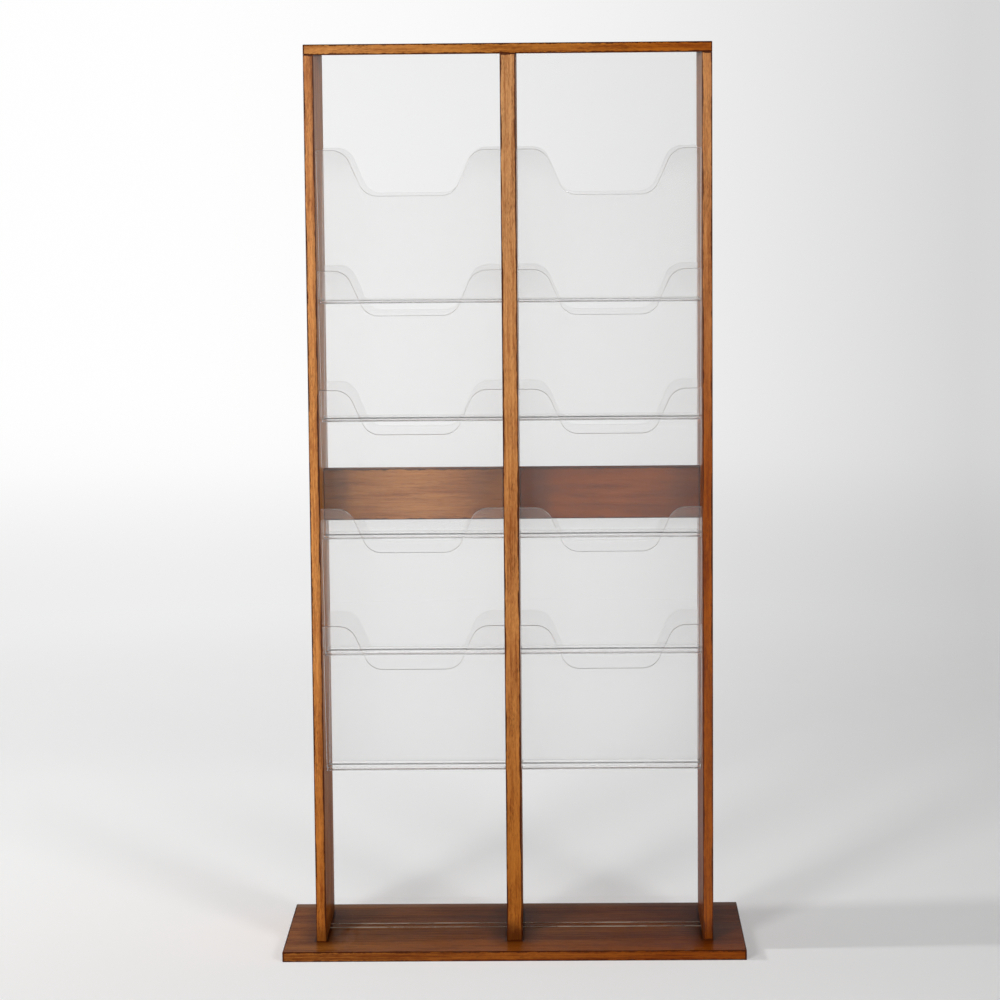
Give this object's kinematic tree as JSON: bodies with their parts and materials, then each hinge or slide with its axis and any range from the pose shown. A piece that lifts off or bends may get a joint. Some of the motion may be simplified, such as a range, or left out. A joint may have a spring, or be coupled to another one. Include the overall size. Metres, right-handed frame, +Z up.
{
  "type": "periodical display rack",
  "caption": "Free-standing two-sided hardwood rack with bays of clear, notched pockets that hold magazines upright.",
  "frame": {"origin": "centre of the base plate's underside", "axes": "+X to the right seen from the front, +Y from the front to the rear, +Z up"},
  "size_m": [0.816, 0.355, 1.6],
  "materials": {
    "stained_hardwood": "varnished red-brown stain, satin on the uprights and glossier on the base",
    "clear_acrylic": "clear, polished, with bright cut edges",
    "beech_dowel": "bare, unfinished",
    "zinc_plated_steel": "dull zinc plate"
  },
  "bodies": {
    "root": {"base_plate": "stained_hardwood", "left_upright": "stained_hardwood", "centre_upright": "stained_hardwood", "right_upright": "stained_hardwood", "top_rail": "stained_hardwood", "left_cross_rail": "stained_hardwood", "right_cross_rail": "stained_hardwood", "front_left_sheet": "clear_acrylic", "rear_left_sheet": "clear_acrylic", "front_right_sheet": "clear_acrylic", "rear_right_sheet": "clear_acrylic", "front_left_pocket_1": "clear_acrylic", "front_left_pocket_2": "clear_acrylic", "front_left_pocket_3": "clear_acrylic", "front_left_pocket_4": "clear_acrylic", "front_left_pocket_5": "clear_acrylic", "rear_left_pocket_1": "clear_acrylic", "rear_left_pocket_2": "clear_acrylic", "rear_left_pocket_3": "clear_acrylic", "rear_left_pocket_4": "clear_acrylic", "rear_left_pocket_5": "clear_acrylic", "front_right_pocket_1": "clear_acrylic", "front_right_pocket_2": "clear_acrylic", "front_right_pocket_3": "clear_acrylic", "front_right_pocket_4": "clear_acrylic", "front_right_pocket_5": "clear_acrylic", "rear_right_pocket_1": "clear_acrylic", "rear_right_pocket_2": "clear_acrylic", "rear_right_pocket_3": "clear_acrylic", "rear_right_pocket_4": "clear_acrylic", "rear_right_pocket_5": "clear_acrylic", "top_dowels": "beech_dowel", "outer_rail_dowels": "beech_dowel", "centre_rail_dowels": "beech_dowel", "base_screws": "zinc_plated_steel"}
  },
  "joints": []
}
